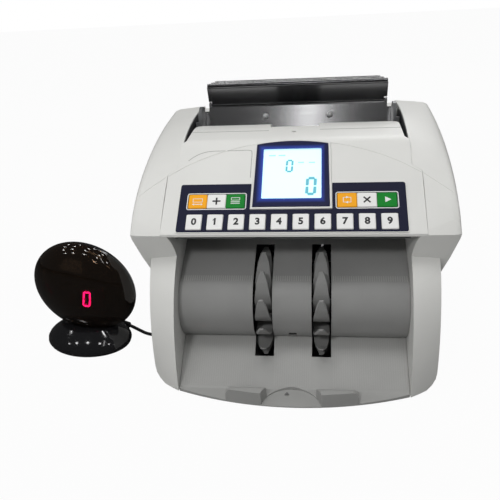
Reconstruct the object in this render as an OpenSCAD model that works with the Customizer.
// Banknote counting machine with a remote display.
// X runs to the machine's right as seen from the front, -Y is the front, Z is up.
// The origin is on the table, at the middle of the underside of the machine's middle foot.

/* [Housing] */
// Width across the side covers at their widest
body_w = 282; // [278:1:290]
// Width across the lower walls
base_w = 254; // [250:1:256]
// Wall thickness of the plastic covers
wall = 2.8; // [2.4:0.1:3.2]
// Height of the flat top of the console
top_z = 198.5; // [197:0.5:200]

/* [Console] */
// Slope of the key panel, in degrees from level
panel_slope = 34.6; // [34:0.1:35]
// Width of the printed overlay
overlay_w = 197.2; // [190:0.2:200]
// Length of the printed overlay up the slope
overlay_len = 49.4; // [48:0.2:50]
// Side to side pitch of the number keys
key_pitch = 18.58; // [18:0.02:19]
// Width of one number key
key_w = 13.9; // [13:0.1:15]
// Travel of a key
key_travel = 0.6; // [0.4:0.1:0.8]

/* [Hopper] */
// Width of the stainless hopper plate
plate_w = 187; // [180:1:188]
// Height of the hinged note support
flap_h = 20; // [18:0.5:24]

/* [Stacker] */
// Inside width of the stacker
stacker_w = 206; // [202:1:208]
// Radius of the round note guide
guide_r = 33.6; // [33:0.2:34]
// Radius of the stacking wheels
wheel_r = 51; // [49:0.5:51]
// Width of one stacking wheel
wheel_w = 15; // [13:0.5:16]
// Number of tines on a stacking wheel
tine_count = 12; // [10:1:14]

/* [Drive] */
// Radius of the three steel shafts
shaft_r = 4; // [3.5:0.1:4]
// Radial clearance of a shaft in its bearing
running = 0.04; // [0.02:0.01:0.08]

/* [Remote display] */
// Width of the oval head
head_w = 114; // [110:1:116]
// Height of the oval head
head_h = 100; // [96:1:102]
// Depth of the oval head
head_d = 46; // [44:1:50]
// Turn of the display away from straight ahead, in degrees
head_turn = -11; // [-14:1:-8]
// Diameter of the display cord
cord_d = 3.5; // [3.2:0.1:3.8]

/* [Hidden] */

// colours
shell_grey = [0.86, 0.86, 0.84];
dark_grey = [0.35, 0.36, 0.37];
steel = [0.75, 0.76, 0.78];
rubber = [0.12, 0.12, 0.12];

// console profile, front to rear
lip_y = -95;
lip_z = 138.6;
panel_y = -93;
panel_z = 142.7;
rise = tan(panel_slope);
ridge_y = panel_y + (top_z - panel_z) / rise;
console_rear = 45;

// rows of keys, measured up the slope
number_row = 9.2;
number_h = 15.5;
strip_row = 30.4;
strip_h = 14.5;
strip_pitch = 16.85;
strip_left = -65.6;
strip_right = 65;

// side covers
cheek_in = 105.5;
cheek_bottom = 84;
rear_y = 118;
half_in = stacker_w / 2;
floor_z = 3;

// shafts, as [Y, Z]
stacker_at = [-67, 58];
count_at = [44, 118];
feed_at = [66.4, 160];
motor_at = [72, 36];
frame_x = 108.5;
frame_t = 1.5;
bearing_r = 8;

// round note guide
guide_at = [-71, 61];
guide_from = 115;
guide_to = 235;
ramp_slope = 25;
wheel_x = 26.2;
slot_w = 17.5;

// hopper plate: its upper and lower edges, as [Y, Z]
plate_top = [80, 208];
plate_foot = [38, 135];
plate_t = 1.2;
plate_wide = 206;
hinge_at = [82, 211];
rail_at = [96, 178];
tie_at = [[-6, 30], [104, 70], [4, 172]];
screw_y = 12;
flap_lean = 15;
bridge_z = 150;

// remote display
foot_at = [-216, -56];
head_at = [0, 8, 60];
pin_z = 20.6;
led_z = 51;

// helpers ---------------------------------------------------------------

// a flat shape drawn in Y and Z, extruded along X
module along_x(x0, x1)
    translate([x0, 0, 0]) rotate([90, 0, 90]) linear_extrude(x1 - x0) children();

// a round bar along X through a point [Y, Z]
module bar(at, r, x0, x1, fn = 48)
    translate([x0, at[0], at[1]]) rotate([0, 90, 0]) cylinder(r = r, h = x1 - x0, $fn = fn);

// the key panel's own frame: X across, Y up the slope, Z out of the panel
module on_panel()
    translate([0, panel_y, panel_z]) rotate([panel_slope, 0, 0]) children();

// a rectangle with round corners
module round_rect(w, h, r) {
    translate([-w / 2 + r, -h / 2]) square([w - 2 * r, h]);
    translate([-w / 2, -h / 2 + r]) square([w, h - 2 * r]);
    for (x = [-1, 1], y = [-1, 1])
        translate([x * (w / 2 - r), y * (h / 2 - r)]) circle(r, $fn = 24);
}

function bezier(p, n) = [for (i = [0:n]) let (t = i / n, s = 1 - t)
    s * s * s * p[0] + 3 * s * s * t * p[1] + 3 * s * t * t * p[2] + t * t * t * p[3]];

function mix(a, b, t) = a * (1 - t) + b * t;

// housing ---------------------------------------------------------------

// control points of a side cover's top edge: 0 beside the console, 1 at the outside
function cheek_top(out, inset = 0) = [
    mix([-95, 139.5], [-94, 139.5], out) + [inset, 0],
    mix([-50, 173], [-70, 172], out) + [inset, -inset],
    mix([-12, 218], [0, 196], out) + [0, -inset],
    mix([rear_y, 201], [rear_y, 197.5], out) + [-inset, -inset]];

function cheek_outline(out, inset, low) = concat(
    bezier(cheek_top(out, inset), 20),
    [[rear_y - inset, low], mix([lip_y, lip_z], [-74, cheek_bottom],
        (lip_z - low) / (lip_z - cheek_bottom)) + [inset, 0]]);

module cheek_slice(x, out, inset, low)
    along_x(x, x + 0.02) polygon(cheek_outline(out, inset, low));

// control points of a lower wall's front edge: 0 at the stacker, 1 at the outside
function wall_front(out, low) = [
    mix([-84, 116.5], [-82, 115.5], out),
    mix([-120, 92], [-108, 94], out),
    mix([-134, 48], [-120, 52], out),
    mix([-136, low], [-119.5, low], out)];

module wall_slice(x, out, low)
    along_x(x, x + 0.02)
        polygon(concat(bezier(wall_front(out, low), 14), [[rear_y, low], [rear_y, 116.5]]));

// plan of the console cover, grown by a clearance
module console_plan(gap = 0) {
    front = 113.3 + gap;
    mid = 105.2 + gap;
    rear = 101 + gap;
    y1 = console_rear + gap;
    polygon([[-front, lip_y - 3], [front, lip_y - 3], [front, -43 + gap], [mid, -37 + gap],
        [mid, -14 + gap], [rear, -9 + gap], [rear, y1 - 6], [rear - 2, y1 - 2], [rear - 6, y1],
        [-rear + 6, y1], [-rear + 2, y1 - 2], [-rear, y1 - 6], [-rear, -9 + gap],
        [-mid, -14 + gap], [-mid, -37 + gap], [-front, -43 + gap]]);
}

// room for the console cover and its underside
module console_room()
    intersection() {
        along_x(-120, 120) polygon([[lip_y - 3, lip_z - 0.3], [-89.5, lip_z - 0.3],
            [ridge_y, top_z - wall - 1.6], [60, top_z - wall - 1.6], [60, 230], [lip_y - 3, 230]]);
        linear_extrude(240) console_plan(0.3);
    }

// the inner top corner of the lower wall, rounded over towards the console
module wall_shoulder()
    translate([0, -50, 0]) rotate([90, 0, 0]) linear_extrude(60)
        polygon(concat([[half_in - 1, 116.5], [half_in, 116.5]],
            [for (a = [15:15:90]) [half_in + 8 * (1 - cos(a)), 116.5 + 24 * sin(a)]],
            [[half_in - 1, 140.5]]));

module side_cover() {
    outer = body_w / 2;
    base = base_w / 2;
    difference() {
        union() {
            hull() {
                cheek_slice(half_in, 0, 0, cheek_bottom);
                cheek_slice(base - 11, 0.32, 0, cheek_bottom);
                cheek_slice(base, 0.6, 0, cheek_bottom);
                cheek_slice(outer - 6, 0.84, 0.1, 114);
                cheek_slice(outer - 3, 0.93, 0.7, 129);
                cheek_slice(outer - 1, 0.98, 1.7, 135);
                cheek_slice(outer, 1, 3.4, 139);
            }
            hull() {
                wall_slice(half_in, 0, floor_z);
                wall_slice(base - 16, 0.3, floor_z);
                wall_slice(base - 9, 0.6, floor_z);
                wall_slice(base - 4, 0.84, floor_z + 3);
                wall_slice(base - 1, 0.95, floor_z + 8);
                wall_slice(base, 1, floor_z + 14);
            }
        }
        // the hopper and console side is set back above the lower wall
        along_x(half_in - 1, cheek_in)
            polygon([[-40, 125], [-37, 125], [70, 100], [rear_y + 1, 100], [rear_y + 1, 240], [-40, 240]]);
        console_room();
        wall_shoulder();
        // hollow for the frame, pulleys and belts
        along_x(frame_x - 0.5, base - wall)
            polygon([[-86, -1], [-86, 82], [-60, 122], [0, 172], [50, 186], [105, 189],
                [rear_y - wall, 185], [rear_y - wall, -1]]);
        along_x(base - wall - 0.1, outer - wall - 2)
            polygon([[-60, 136], [0, 170], [50, 182], [rear_y - 6, 184], [rear_y - 6, 136]]);
        // seat of the base pan
        translate([half_in - 1, -88.2, -1])
            cube([base - wall - half_in + 1, rear_y + 88.4 - wall, 6.2]);
        // shaft holes through the inner wall
        for (at = [stacker_at, count_at, feed_at]) bar(at, 9, half_in - 2, frame_x);
        bar(motor_at, 12.6, half_in - 2, frame_x);
        for (at = tie_at) bar(at, 4, half_in - 2, frame_x);
        bar(rail_at, 3, half_in - 2, frame_x);
        translate([half_in - 1, screw_y - 10.4, bridge_z - 0.4]) cube([7, 20.8, 2.4]);
        // seat of the rear cover
        translate([half_in - 1, rear_y - 2.8, -1]) cube([cheek_in - half_in + 1, 4, 104]);
    }
}

module side_cover_right() color(shell_grey) side_cover();

module side_cover_left() color(shell_grey) mirror([1, 0, 0]) side_cover();

// outline of the console cover's shell in Y and Z
module console_section() {
    drop = wall / cos(panel_slope);
    ridge = [[ridge_y - 7, top_z - 7 * rise], [ridge_y - 2, top_z - 2 * rise],
        [ridge_y + 2, top_z], [ridge_y + 8, top_z + 0.1]];
    polygon(concat([[lip_y, lip_z], [lip_y, 140.8], [lip_y + 0.4, 141.4], [panel_y, panel_z]],
        bezier(ridge, 6), [
        [26, top_z + 0.6], [30, top_z + 0.4], [console_rear, top_z - 0.9], [console_rear + 0.5, top_z - 3],
        [36.6, 146], [34, 146], [42, top_z - 6], [28, top_z - wall],
        [ridge_y + 3, top_z - wall - 0.4], [lip_y + wall, lip_z + wall * rise - drop + 2.6],
        [lip_y + wall, lip_z]]));
}

module console_cover() color(shell_grey) {
    difference() {
        intersection() {
            along_x(-115, 115) console_section();
            linear_extrude(240) console_plan();
        }
        // finger notch in the rear edge
        translate([-24, 31, top_z - 10]) cube([48, 20, 20]);
        translate([-24, 31, 140]) cube([48, 20, 60]);
        // screwdriver hole above the gap screw
        translate([0, screw_y, top_z - 8]) cylinder(r = 2.2, h = 12, $fn = 24);
        // windows below the keys and the screen
        on_panel() {
            translate([0, number_row, -8]) linear_extrude(12) square([184, 16.6], center = true);
            for (x = [strip_left, strip_right]) translate([x, strip_row, -8]) linear_extrude(12)
                square([53, 16], center = true);
            translate([0, 60.5, -8]) linear_extrude(12) square([55.4, 57], center = true);
        }
    }
    // posts for the circuit board
    on_panel() for (x = [-97, 97], v = [8, 40])
        translate([x, v, -7.4]) cylinder(r = 2.6, h = 5.2, $fn = 24);
}

module rear_cover() color(shell_grey)
    difference() {
        union() {
            translate([-cheek_in + 0.3, rear_y - 2.5, 5.2]) cube([2 * cheek_in - 0.6, 2.5, 193.3]);
            translate([-cheek_in + 0.3, 88, 196]) cube([2 * cheek_in - 0.6, 30, 2.5]);
            translate([-cheek_in + 0.3, 88, 192]) cube([2 * cheek_in - 0.6, 2, 5]);
        }
        // vents
        for (i = [-6:6]) translate([i * 12 - 2, rear_y - 4, 96]) cube([4, 6, 46]);
        // power inlet, rocker and jack
        translate([58, rear_y - 4, 17.8]) cube([28.4, 6, 20.4]);
        translate([25.8, rear_y - 4, 19.8]) cube([13.4, 6, 19.4]);
        translate([-80, rear_y + 3, 22]) rotate([90, 0, 0]) cylinder(r = 5.1, h = 8, $fn = 32);
    }

module base_pan() color(steel)
    difference() {
        union() {
            translate([-base_w / 2 + wall + 0.3, -88, 3])
                cube([base_w - 2 * wall - 0.6, rear_y - wall + 87.8, 1.5]);
            translate([-half_in + 0.5, -88, 3]) cube([2 * half_in - 1, 1.5, 5]);
            translate([-half_in + 0.5, rear_y - 4.2, 3]) cube([2 * half_in - 1, 1.5, 12]);
        }
        // ventilation slots
        for (i = [-4:4]) translate([i * 14 - 2, -64, 2]) cube([4, 44, 4]);
    }

module feet() color(rubber) {
    for (x = [-110, 110]) translate([x, -100, 0]) cylinder(r = 8, h = floor_z, $fn = 32);
    for (x = [-100, 100]) translate([x, 98, 0]) cylinder(r = 8, h = floor_z, $fn = 32);
    // middle foot, which stops the pan from drumming
    cylinder(r = 8, h = floor_z, $fn = 32);
}

// frame and drive ---------------------------------------------------------

module side_frame(side) {
    x0 = side > 0 ? frame_x : -frame_x - frame_t;
    difference() {
        union() {
            along_x(x0, x0 + frame_t)
                polygon([[-84, 4.5], [-84, 76], [-58, 112], [-4, 158], [44, 182], [102, 188],
                    [112, 180], [112, 4.5]]);
            // foot flange
            translate([side > 0 ? frame_x : -frame_x - 12, -70, 4.5]) cube([12, 176, 1.5]);
        }
        for (at = [stacker_at, count_at, feed_at, motor_at]) bar(at, bearing_r, x0 - 1, x0 + 3);
        // lightening holes
        bar([-10, 54], 22, x0 - 1, x0 + 3);
        bar([6, 122], 13, x0 - 1, x0 + 3);
        bar([88, 96], 15, x0 - 1, x0 + 3);
    }
}

module side_frame_left() color(steel) side_frame(-1);

module side_frame_right() color(steel) side_frame(1);

module tie_bars() color(steel) {
    for (at = tie_at) bar(at, 3.5, -frame_x, frame_x);
    // rail of the hopper's side guides
    bar(rail_at, 2.5, -frame_x, frame_x);
    // bridge that carries the gap screw
    difference() {
        translate([-frame_x, screw_y - 10, bridge_z]) cube([2 * frame_x, 20, 1.6]);
        translate([0, screw_y, bridge_z - 2]) cylinder(r = 2.5 + running, h = 6, $fn = 32);
    }
    // tray below the circuit board
    on_panel() {
        translate([-102.4, 1, -14]) cube([204.8, 92, 1]);
        for (x = [-102.4, 101.4]) translate([x, 1, -14]) cube([1, 92, 8]);
    }
}

module ring(at, x0, x1)
    difference() {
        bar(at, bearing_r, x0, x1);
        bar(at, shaft_r + running, x0 - 1, x1 + 1);
    }

module bearings() color(steel)
    for (at = [stacker_at, count_at, feed_at]) {
        ring(at, frame_x - 1, frame_x + 4);
        ring(at, -frame_x - 4, -frame_x + 1);
    }

module roller(at, r, x, w)
    difference() {
        bar(at, r, x - w / 2, x + w / 2, 64);
        bar(at, shaft_r, x - w, x + w);
    }

module pulley(at, r, x0, x1)
    difference() {
        union() {
            bar(at, r, x0, x1, 64);
            bar(at, r + 1.4, x0 - 0.8, x0, 64);
            bar(at, r + 1.4, x1, x1 + 0.8, 64);
        }
        bar(at, shaft_r, x0 - 2, x1 + 2);
    }

module feed_shaft() color(steel) {
    bar(feed_at, shaft_r, -114, 123);
    pulley(feed_at, 10, 118.4, 122.2);
}

module feed_rollers() color(rubber)
    for (x = [-42, 42]) roller(feed_at, 14, x, 18);

module count_shaft() color(steel) {
    bar(count_at, shaft_r, -122, 123);
    pulley(count_at, 15, -120.4, -114.6);
    pulley(count_at, 10, 113.6, 116.6);
    pulley(count_at, 10, 118.4, 122.2);
}

module count_rollers() color(rubber)
    for (x = [-62, -22, 22, 62]) roller(count_at, 16, x, 22);

module stacker_shaft() color(steel) {
    bar(stacker_at, shaft_r, -114, 118);
    pulley(stacker_at, 14, 113.6, 116.6);
}

// centreline of a tine: it leaves the hub and trails behind the turn
function tine_point(t, side) = let (r = 7 + (wheel_r - 7) * t, a = -92 * pow(t, 0.8),
    thick = side * (1.5 - 0.7 * t), slant = a + 42 - 64 * t)
    [r * cos(a) - thick * sin(slant - 30), r * sin(a) + thick * cos(slant - 30)];

// a stacking wheel: curved tines, narrowed towards their tips
module stacking_wheel(x)
    translate([x, stacker_at[0], stacker_at[1]])
        intersection() {
            translate([-wheel_w / 2, 0, 0]) rotate([90, 0, 90]) linear_extrude(wheel_w)
                difference() {
                    union() {
                        circle(10, $fn = 48);
                        for (i = [0:tine_count - 1]) rotate(i * 360 / tine_count)
                            polygon(concat([for (k = [0:7]) tine_point(k / 7, 1)],
                                [for (k = [7:-1:0]) tine_point(k / 7, -1)]));
                    }
                    circle(shaft_r, $fn = 48);
                }
            rotate([0, 90, 0]) rotate_extrude($fn = 96)
                polygon([[0, -wheel_w / 2], [34, -wheel_w / 2], [45, -wheel_w / 3],
                    [wheel_r, -1.6], [wheel_r, 1.6], [45, wheel_w / 3], [34, wheel_w / 2],
                    [0, wheel_w / 2]]);
        }

module stacker_wheels() color([0.5, 0.51, 0.52])
    for (x = [-wheel_x, wheel_x]) stacking_wheel(x);

module motor() color(dark_grey) {
    difference() {
        union() {
            bar(motor_at, 24, -94, -34, 64);
            bar(motor_at, 12, -frame_x, -93, 48);
        }
        bar(motor_at, 3 + running, -frame_x - 1, -33);
    }
    translate([-90, motor_at[0] - 16, 4.5]) cube([50, 32, 10]);
}

module motor_rotor() color(steel) {
    bar(motor_at, 3, -122, -36);
    difference() {
        union() {
            bar(motor_at, 9, -120.4, -114.6, 64);
            bar(motor_at, 10.4, -121.2, -120.4, 64);
            bar(motor_at, 10.4, -114.6, -113.8, 64);
        }
        bar(motor_at, 3, -123, -112);
    }
}

// a flat belt round two pulleys
module belt(a, ra, b, rb, x0, x1) {
    gap = 0.25;
    thick = 1.1;
    along_x(x0, x1) difference() {
        hull() {
            translate(a) circle(ra + gap + thick, $fn = 40);
            translate(b) circle(rb + gap + thick, $fn = 40);
        }
        hull() {
            translate(a) circle(ra + gap, $fn = 40);
            translate(b) circle(rb + gap, $fn = 40);
        }
    }
}

module drive_belts() color(rubber) {
    belt(motor_at, 9, count_at, 15, -120.2, -114.8);
    belt(count_at, 10, stacker_at, 14, 113.8, 116.4);
    belt(count_at, 10, feed_at, 10, 118.6, 122);
}

module circuit_board() color([0.1, 0.4, 0.2]) on_panel() {
    translate([-100, 3, -9]) cube([200, 44, 1.6]);
    translate([-40, 12, -11.4]) cube([28, 20, 2.6]);
    translate([16, 14, -11.4]) cube([18, 14, 2.6]);
    // push switches below the keys
    for (i = [0:9]) translate([(i - 4.5) * key_pitch - 3.4, number_row - 3, -7.6]) cube([6, 6, 0.8]);
    for (x = [strip_left, strip_right], i = [-1:1])
        translate([x + i * strip_pitch - 3, strip_row - 3, -7.6]) cube([6, 6, 0.8]);
}

module power_supply() color(dark_grey) {
    translate([-20, 56, 4.5]) cube([118, 50, 1.6]);
    translate([44, 58, 6.1]) cube([40, 34, 34]);
    translate([-14, 60, 6.1]) cube([24, 40, 14]);
    for (y = [66, 84]) translate([26, y, 6.1]) cylinder(r = 7, h = 24, $fn = 32);
}

module power_inlet() color(rubber) {
    difference() {
        union() {
            translate([58.2, rear_y - 22, 18]) cube([28, 22, 20]);
            translate([54, rear_y, 15]) cube([36.4, 2, 26]);
        }
        translate([61, rear_y - 17, 20.6]) cube([22.4, 20, 14.8]);
    }
    // contact blades
    for (x = [66, 72.2, 78.4]) translate([x - 2, rear_y - 18, x == 72.2 ? 30 : 25]) cube([4, 14, 1.6]);
    // frame of the rocker switch
    difference() {
        translate([26, rear_y - 10, 20]) cube([13, 11.4, 19]);
        translate([27.2, rear_y - 12, 21.4]) cube([10.6, 16, 16.2]);
    }
}

module power_rocker() color(rubber)
    along_x(27.6, 37.4) polygon([[rear_y - 9, 24], [rear_y - 9, 35], [rear_y - 2, 37],
        [rear_y + 2.4, 36.6], [rear_y + 0.8, 29.5], [rear_y + 2.4, 22.4], [rear_y - 2, 22]]);

module display_jack() color(rubber)
    difference() {
        union() {
            translate([-80, rear_y, 22]) rotate([90, 0, 0]) cylinder(r = 5, h = 12, $fn = 32);
            translate([-80, rear_y + 1.6, 22]) rotate([90, 0, 0]) cylinder(r = 7, h = 1.6, $fn = 32);
        }
        translate([-80, rear_y + 3, 22]) rotate([90, 0, 0]) cylinder(r = 2, h = 12, $fn = 24);
    }

// stacker -----------------------------------------------------------------

module wheel_slots(r) for (x = [-wheel_x, wheel_x])
    bar(stacker_at, r, x - slot_w / 2, x + slot_w / 2, 96);

// a band of the round guide, between two radii
module guide_band(r0, r1)
    translate(guide_at) intersection() {
        difference() {
            circle(r1, $fn = 96);
            circle(r0, $fn = 96);
        }
        polygon([[0, 0], 60 * [cos(guide_from - 3), sin(guide_from - 3)], [-70, 30], [-70, -30],
            60 * [cos(guide_to), sin(guide_to)]]);
    }

module stacker_guide() color([0.62, 0.62, 0.61]) {
    top = guide_at + guide_r * [cos(guide_from), sin(guide_from)];
    along = [cos(ramp_slope), sin(ramp_slope)];
    down = 2 * [-cos(guide_from), -sin(guide_from)];
    end = top + 70 * along;
    difference() {
        along_x(-half_in + 0.3, half_in - 0.3) {
            guide_band(guide_r - 2, guide_r);
            polygon([top, end, end + [34, -4], end + [34, -6], end + down + [0, -0.4], top + down]);
        }
        wheel_slots(wheel_r + 2.5);
        // place of the counting sensor
        translate([-3.7, -104, 38.6]) cube([7.4, 20, 4.8]);
    }
}

module sensor_window() color([0.05, 0.05, 0.05])
    translate([-3.6, -95.6, 38.7]) cube([7.2, 3.4, 4.6]);

// the bowed front of the tray, in plan
module tray_bow(r) translate([0, 150, -5]) cylinder(r = r, h = 60, $fn = 180);

module stacker_tray() color([0.7, 0.7, 0.69])
    intersection() {
        difference() {
            union() {
                along_x(-half_in + 0.3, half_in - 0.3) polygon([
                    [-90.3, 33.2], [-131.5, 5], [-149, 3.2], [-152, 3.2], [-152, 1.6],
                    [-131, 1.6], [-91, 29], [-88.6, 29], [-88.6, 33.2]]);
                // note stops
                for (s = [-1, 1]) translate([s * 39, 0, 0]) note_stop();
            }
            wheel_slots(wheel_r + 2.5);
            // finger recess
            translate([0, -157, 2.9]) cylinder(r = 27, h = 20, $fn = 64);
        }
        tray_bow(302);
    }

module note_stop()
    intersection() {
        along_x(-19, 19) polygon([[-141, 4], [-141, 12.5], [-142.2, 15], [-145, 16],
            [-154, 15.6], [-154, 1.6], [-141, 1.6]]);
        translate([0, -130, 5]) rotate([90, 0, 0]) linear_extrude(30) round_rect(38, 22, 7);
        tray_bow(302);
    }

// hopper --------------------------------------------------------------------

plate_dir = (plate_top - plate_foot) / norm(plate_top - plate_foot);
plate_out = [-plate_dir[1], plate_dir[0]];

module hopper_plate() color(steel) {
    back = -plate_t * plate_out;
    low = mix(plate_foot, plate_top, 0.4);
    high = mix(plate_foot, plate_top, 0.95);
    difference() {
        union() {
            along_x(-plate_w / 2, plate_w / 2) {
                polygon([plate_foot, plate_top, plate_top + back, plate_foot + back]);
                polygon([plate_top + back, plate_top, [86, 208], [94, 204.5],
                    [94, 198.7], [92.8, 198.7], [92.8, 203.6], [85.6, 206.8]]);
            }
            // wider behind the guides
            along_x(-plate_wide / 2, plate_wide / 2)
                polygon([low, high, high + back, low + back]);
        }
        // slots for the feed rollers and the guides' arms
        for (x = [-42, 42]) translate([x - 10.5, 40, 150]) cube([21, 40, 27]);
        for (s = [-1, 1]) translate([s > 0 ? 48 : -101, 50, 182.6]) cube([53, 30, 6.8]);
    }
    // two round studs
    for (x = [-32.8, 34.4]) translate([x, 74.7, 198.1])
        rotate([atan2(plate_out[1], plate_out[0]) - 90, 0, 0]) cylinder(r = 3, h = 1.3, $fn = 32);
    // hinge pin in its two ears
    bar(hinge_at, 1.2, -plate_w / 2, plate_w / 2);
    for (x = [-plate_w / 2, plate_w / 2 - 2.5])
        along_x(x, x + 2.5)
            polygon([[80.4, 207.7], [80, 211.2], [82, 213.4], [84.6, 211.6], [85.6, 207.7]]);
}

module note_flap() color(steel) {
    half = plate_w / 2 - 3;
    difference() {
        union() {
            bar(hinge_at, 2.3, -half, half);
            translate([0, hinge_at[0], hinge_at[1]]) rotate([flap_lean, 0, 0])
                translate([-half + 0.4, -2, 0]) cube([2 * half - 0.8, 1, 6]);
        }
        bar(hinge_at, 1.2 + running, -half - 1, half + 1);
    }
    translate([0, hinge_at[0], hinge_at[1]]) rotate([flap_lean, 0, 0])
        translate([-half - 2.8, -2, 4]) cube([2 * half + 5.6, 1, flap_h - 4]);
    // stepped beads along the top edge
    top = hinge_at + [-1.5 * cos(flap_lean) - flap_h * sin(flap_lean),
        -1.5 * sin(flap_lean) + flap_h * cos(flap_lean)];
    for (i = [0:2])
        bar(top + [2.1 + 5.2 * i, 0.5 + 0.3 * i], 2.9, -half - 2.4 + 3.4 * i, half + 2.4 - 3.4 * i);
}

// a side guide of the hopper: plate, arm through the slot, slider on the rail
module hopper_guide() {
    difference() {
        union() {
            along_x(97, 100) intersection() {
                union() {
                    translate([62, 200]) circle(13, $fn = 64);
                    polygon([[49, 200], [49, 190], [44.5, 166], [60, 166], [75, 200]]);
                }
                polygon([[40, 160], plate_foot + 2 * plate_out, plate_top + 2 * plate_out + 8 * plate_dir,
                    [60, 230], [40, 230]]);
            }
            // front edge, turned outwards
            translate([97, 49, 190]) cube([6, 2, 10.5]);
            along_x(97, 100) polygon([[62, 184], [93, 184], [93, 188], [62, 188]]);
            translate([92, rail_at[0] - 5, rail_at[1] - 4.5]) cube([10, 10, 14.5]);
        }
        bar(rail_at, 2.5 + running, 90, 106);
    }
}

module guide_right() color(dark_grey) hopper_guide();

module guide_left() color(dark_grey) mirror([1, 0, 0]) hopper_guide();

// the pad that lets one note through at a time
module feed_pad() color(rubber)
    translate([0, count_at[0], count_at[1]]) rotate([60, 0, 0]) {
        translate([-30, -4.5, 17.2]) cube([60, 9, 5]);
        // follower below the gap screw
        translate([-5, -3, 22.2]) cube([10, 6, 6]);
        translate([-5, 0, 22.2]) cube([10, 12, 11]);
    }

module gap_screw() color(steel) {
    translate([0, screw_y, 147]) cylinder(r = 2.5, h = 6, $fn = 32);
    translate([0, screw_y, bridge_z + 2.4]) difference() {
        cylinder(r = 6, h = 5, $fn = 48);
        translate([-7, -0.6, 3.4]) cube([14, 1.2, 3]);
    }
}

// console -------------------------------------------------------------------

module key_window(x, v, w, h) translate([x, v, -1]) linear_extrude(3) square([w, h], center = true);

module key_overlay() color([0.06, 0.07, 0.16]) on_panel()
    difference() {
        translate([-0.6, overlay_len / 2 - 0.8, 0.02]) linear_extrude(0.9)
            round_rect(overlay_w, overlay_len, 2);
        for (i = [0:9]) key_window((i - 4.5) * key_pitch - 0.4, number_row, key_w + 0.5, number_h + 0.5);
        for (x = [strip_left, strip_right])
            key_window(x, strip_row, 3 * strip_pitch + 0.4, strip_h + 0.5);
        translate([0, 41.4, -1]) linear_extrude(3) square([71.4, 40], center = true);
    }

module key_cap(x, v, w, h) on_panel() translate([x, v, -2]) {
    linear_extrude(3.1) round_rect(w, h, 1.2);
    translate([0, 0, 3.1]) linear_extrude(0.4) round_rect(w - 0.8, h - 0.8, 1);
    translate([0, 0, -4]) cylinder(r = 2.5, h = 4, $fn = 24);
}

module number_key(i) color([0.93, 0.93, 0.91])
    key_cap((i - 4.5) * key_pitch - 0.4, number_row, key_w, number_h);

module strip_key(x, i, tint) color(tint)
    key_cap(x + (i - 1) * strip_pitch, strip_row, strip_pitch - 0.25, strip_h);

module key_size() strip_key(strip_left, 0, [0.9, 0.55, 0.1]);

module key_add() strip_key(strip_left, 1, [0.93, 0.93, 0.91]);

module key_batch() strip_key(strip_left, 2, [0.1, 0.55, 0.25]);

module key_mode() strip_key(strip_right, 0, [0.9, 0.55, 0.1]);

module key_clear() strip_key(strip_right, 1, [0.93, 0.93, 0.91]);

module key_start() strip_key(strip_right, 2, [0.1, 0.55, 0.25]);

// outline of the screen's frame: arched along its top edge
module bezel_outline(w, low, high, arch)
    polygon(concat([[-w / 2 - 1, low], [w / 2 + 1, low]],
        [for (i = [0:12]) let (x = w / 2 - w * i / 12) [x, high - arch * pow(2 * x / w, 2)]]));

module lcd_bezel() color([0.1, 0.16, 0.5]) on_panel()
    difference() {
        translate([0, 0, 0.02]) linear_extrude(2) bezel_outline(65, 24, 95.2, 3.4);
        translate([0, 59.8, -1]) linear_extrude(6) round_rect(52.4, 54.4, 1);
    }

module lcd_panel() color([0.6, 0.9, 1]) on_panel()
    translate([-27.4, 32.4, -3]) cube([54.8, 56.2, 3]);

// remote display ---------------------------------------------------------------

module at_display() translate([foot_at[0], foot_at[1], 0]) rotate(head_turn) children();

module oval_disc(a, b, z) translate([0, 0, z]) linear_extrude(0.1)
    polygon([for (t = [0:7.5:352.5]) [a * cos(t), b * sin(t)]]);

// an egg-shaped solid as rings of points
module egg(a, b, c, rings = 20, sides = 48) {
    pts = concat([[0, 0, -c]],
        [for (i = [1:rings - 1], k = [0:sides - 1])
            let (e = -90 + 180 * i / rings, t = 360 * k / sides)
            [a * cos(e) * cos(t), b * cos(e) * sin(t), c * sin(e)]],
        [[0, 0, c]]);
    last = len(pts) - 1;
    faces = concat(
        [for (k = [0:sides - 1]) [0, 1 + k, 1 + (k + 1) % sides]],
        [for (i = [0:rings - 3], k = [0:sides - 1])
            let (p = 1 + i * sides, q = p + sides, n = (k + 1) % sides) [p + k, q + k, q + n, p + n]],
        [for (k = [0:sides - 1]) let (p = last - sides) [last, p + (k + 1) % sides, p + k]]);
    polyhedron(pts, faces);
}

module display_foot() color(rubber)
    difference() {
        union() {
            at_display() foot_shape();
            // cord exit
            translate([-195, -28.7, 5]) rotate([0, 90, -25.5]) cylinder(r = 3.3, h = 17, $fn = 24);
        }
        translate([-183, -34.42, 5]) rotate([0, 90, -25.5]) cylinder(r = cord_d / 2 + 0.3, h = 6, $fn = 24);
    }

module foot_shape() {
    difference() {
        hull() {
            oval_disc(43, 30, 0);
            oval_disc(45, 32, 1.4);
            oval_disc(46, 33, 4);
            oval_disc(45.4, 32.4, 6.8);
            oval_disc(43.4, 30.4, 9.8);
            oval_disc(40, 27.4, 13);
            oval_disc(35.4, 23.4, 16.4);
            oval_disc(28, 17.6, 20.9);
        }
        head_shape(-1.2);
    }
    // ear for the tilt pin
    difference() {
        along_x(-4, 4) polygon([[3, 2], [3.4, pin_z], [4.6, pin_z + 3.4], [8, pin_z + 4.6],
            [11.4, pin_z + 3.4], [12.6, pin_z], [13, 2]]);
        bar([head_at[1], pin_z], 2 + running, -6, 6, 32);
    }
}

module display_pin() color(steel) at_display() bar([head_at[1], pin_z], 2, -12, 12, 32);

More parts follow.
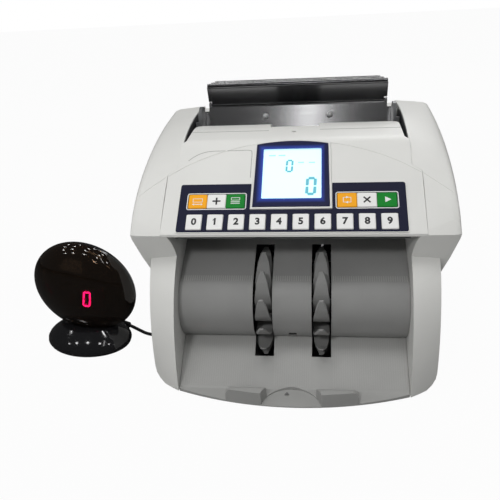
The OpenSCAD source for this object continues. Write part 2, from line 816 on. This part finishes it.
module head_shape(shrink) translate([0, head_at[1], head_at[2]])
    egg(head_w / 2 - shrink, head_d / 2 - shrink, head_h / 2 - shrink);

// room for the foot's ear and for the tilt pin
module ear_room() {
    translate([-4.4, 0.5, 0]) cube([8.8, 15, pin_z + 5.6]);
    bar([head_at[1], pin_z], 2, -13, 13, 32);
}

module display_head() color(rubber) at_display() {
    difference() {
        intersection() {
            head_shape(0);
            translate([-80, head_at[1], 0]) cube([160, 60, 140]);
        }
        difference() {
            head_shape(2.5);
            translate([-14, 0, 0]) cube([28, 60, pin_z + 8]);
        }
        ear_room();
    }
    // posts of the LED module
    for (x = [-16, 16]) translate([x, head_at[1] + 21, head_at[2]])
        rotate([90, 0, 0]) cylinder(r = 2.5, h = 21, $fn = 24);
}

module display_lens() color([0.25, 0.1, 0.05]) at_display()
    difference() {
        intersection() {
            head_shape(0);
            translate([-80, head_at[1] - 60, 0]) cube([160, 60, 140]);
        }
        difference() {
            head_shape(2.4);
            translate([-14, -60, 0]) cube([28, 120, pin_z + 8]);
        }
        ear_room();
    }

module led_display() color([0.3, 0.05, 0.05]) at_display()
    difference() {
        translate([-27, head_at[1] - 8, led_z - 13]) cube([54, 8, 26]);
        // shallow windows of the four digits
        for (i = [-1.5:1.5]) translate([i * 12 - 5, head_at[1] - 9, led_z - 10])
            cube([10, 1.8, 20]);
    }

// cord ------------------------------------------------------------------------

// from the display's foot along the machine to the coil
cord_front = concat([[-182, -34.9, 5], [-176, -37.8, 4.7], [-170, -40.6, 3.8], [-164, -43.4, 2.7],
    [-158, -46, 1.9], [-152, -47.8, 1.8], [-146.5, -47.6, 1.8], [-142.2, -44.4, 1.8],
    [-139.8, -39, 1.8], [-139, -32, 1.8]], [for (y = [-20:17:99]) [-139, y, 1.8]],
    [[-140, 112, 1.8], [-142.2, 136, 1.8]]);

// from the coil to the plug
cord_rear = [[-104, 172.9, 5.5], [-98, 171.3, 6.2], [-91.6, 167.8, 8.6],
    [-86, 162.4, 12.4], [-82, 156, 16.8], [-80.4, 149.6, 20.4], [-80, 143.4, 22]];

coil_at = [-119, 150];
coil_mid = 20;

// a tube of eight sides along a list of points
module tube(path, r) {
    n = len(path);
    sides = 8;
    rings = [for (i = [0:n - 1]) let (
        t = path[min(i + 1, n - 1)] - path[max(i - 1, 0)],
        d = t / norm(t),
        s = cross(d, [0, 0, 1]) / norm(cross(d, [0, 0, 1])),
        u = cross(s, d))
        for (k = [0:sides - 1]) path[i] + r * (cos(45 * k + 22.5) * s + sin(45 * k + 22.5) * u)];
    faces = concat([[for (k = [sides - 1:-1:0]) k]],
        [for (i = [0:n - 2], k = [0:sides - 1]) let (p = i * sides, m = (k + 1) % sides)
            [p + k, p + m, p + sides + m, p + sides + k]],
        [[for (k = [0:sides - 1]) (n - 1) * sides + k]]);
    polyhedron(rings, faces);
}

module display_cord() color(rubber) {
    tube(cord_front, cord_d / 2);
    tube(cord_rear, cord_d / 2);
}

module cord_coil() color(rubber) translate([coil_at[0], coil_at[1], 0.02])
    rotate_extrude($fn = 96) translate([coil_mid - 1.5 * cord_d, 0]) square([3 * cord_d, 2 * cord_d]);

module cord_plug() color(rubber) {
    translate([-80, 142.8, 22]) rotate([90, 0, 0]) cylinder(r = 4.6, h = 23, $fn = 32);
    translate([-80, 121, 22]) rotate([90, 0, 0]) cylinder(r = 1.9, h = 11.5, $fn = 24);
}

// parts -----------------------------------------------------------------------

base_pan();
feet();
side_cover_left();
side_cover_right();
console_cover();
rear_cover();
stacker_guide();
stacker_tray();
sensor_window();
side_frame_left();
side_frame_right();
tie_bars();
bearings();
hopper_plate();
note_flap();
guide_left();
guide_right();
feed_pad();
gap_screw();
feed_shaft();
feed_rollers();
count_shaft();
count_rollers();
stacker_shaft();
stacker_wheels();
motor();
motor_rotor();
drive_belts();
circuit_board();
power_supply();
power_inlet();
power_rocker();
display_jack();
key_overlay();
lcd_bezel();
lcd_panel();
number_key(0);  // key_0
number_key(1);  // key_1
number_key(2);  // key_2
number_key(3);  // key_3
number_key(4);  // key_4
number_key(5);  // key_5
number_key(6);  // key_6
number_key(7);  // key_7
number_key(8);  // key_8
number_key(9);  // key_9
key_size();
key_add();
key_batch();
key_mode();
key_clear();
key_start();
display_foot();
display_pin();
display_head();
display_lens();
led_display();
display_cord();
cord_coil();
cord_plug();
